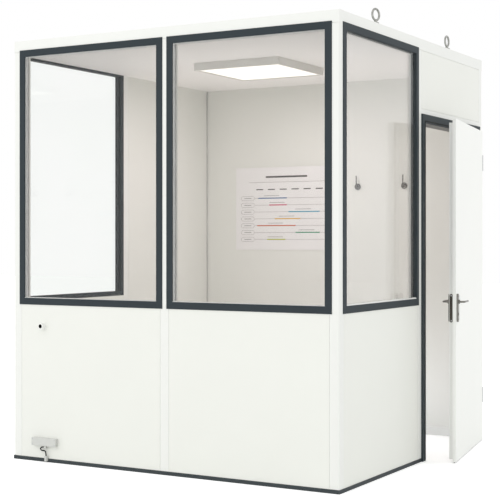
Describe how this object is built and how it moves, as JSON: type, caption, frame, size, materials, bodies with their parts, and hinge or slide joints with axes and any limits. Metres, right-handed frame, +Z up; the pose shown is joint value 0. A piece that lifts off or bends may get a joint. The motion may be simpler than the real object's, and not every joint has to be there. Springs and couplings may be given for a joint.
{
  "type": "portable cabin",
  "caption": "Square flat-roofed site cabin of white insulated panels with dark-framed windows, an outward-opening side door, lifting eyes and a lit ceiling panel.",
  "frame": {"origin": "on the floor under the middle of the front wall, on the centre line of its base rail", "axes": "+X to the right along the front wall, +Y into the cabin to its rear wall, +Z up"},
  "size_m": [2.4019, 2.1925, 2.5895],
  "materials": {
    "white_panel": "satin",
    "white_profile": "satin",
    "anthracite_frame": "satin",
    "anthracite_rail": "matte",
    "window_glass": "gloss",
    "door_white": "satin",
    "dark_steel": "satin",
    "stainless_steel": "satin",
    "zinc_steel": "satin",
    "forged_steel": "satin",
    "light_housing": "satin",
    "light_diffuser": "matte",
    "planner_paper": "matte",
    "grey_plastic": "matte",
    "black_rubber": "matte",
    "white_plastic": "satin",
    "ceiling_white": "matte",
    "roof_membrane": "matte"
  },
  "bodies": {
    "cabin": {"base_rail_front": "anthracite_rail", "base_rail_left": "anthracite_rail", "base_rail_rear": "anthracite_rail", "base_rail_right": "anthracite_rail", "cable_spout": "white_plastic", "ceiling_panel": "ceiling_white", "coat_hooks": "dark_steel", "corner_post_front_left": "white_profile", "corner_post_front_right": "white_profile", "corner_post_rear_left": "white_profile", "corner_post_rear_right": "white_profile", "door_frame": "anthracite_frame", "front_panel_left": "white_panel", "front_panel_right": "white_panel", "hinge_frame_side": "zinc_steel", "lead_clamp": "grey_plastic", "left_panel_front": "white_panel", "left_panel_rear": "white_panel", "lifting_eye_left_front": "forged_steel", "lifting_eye_left_rear": "forged_steel", "lifting_eye_right_front": "forged_steel", "lifting_eye_right_rear": "forged_steel", "light_body": "light_housing", "light_diffuser": "light_diffuser", "middle_post_front": "white_profile", "middle_post_left": "white_profile", "middle_post_rear": "white_profile", "middle_post_right": "white_profile", "planner_board": "planner_paper", "rear_panel_left": "white_panel", "rear_panel_right": "white_panel", "right_panel_front": "white_panel", "roof_panel": "roof_membrane", "skirting": "white_plastic", "supply_box": "grey_plastic", "supply_lead": "black_rubber", "top_rail_front": "white_profile", "top_rail_left": "white_profile", "top_rail_rear": "white_profile", "top_rail_right": "white_profile", "transom_panel": "white_panel", "transom_rail": "white_profile", "window_frame_front_left": "anthracite_frame", "window_frame_front_right": "anthracite_frame", "window_frame_left": "anthracite_frame", "window_frame_right": "anthracite_frame", "window_pane_front_left": "window_glass", "window_pane_front_right": "window_glass", "window_pane_left": "window_glass", "window_pane_right": "window_glass"},
    "door": {"door_leaf": "door_white", "lock_plate": "dark_steel", "handle_plates": "stainless_steel", "hinge_door_side": "zinc_steel"},
    "lever": {"lever_handles": "stainless_steel"}
  },
  "joints": [
    {"name": "door_hinge", "type": "hinge", "parent": "cabin", "child": "door", "pos_m": [1.11, 2.058, 1], "axis": [0, 0, 1], "range_deg": [-10, 160]},
    {"name": "lever_turn", "type": "hinge", "parent": "door", "child": "lever", "pos_m": [1.26698, 1.16773, 0.946], "axis": [-0.9848, -0.1736, 0], "range_deg": [0, 40], "stiffness_Nm_per_rad": 2, "springref_deg": -14.32}
  ]
}
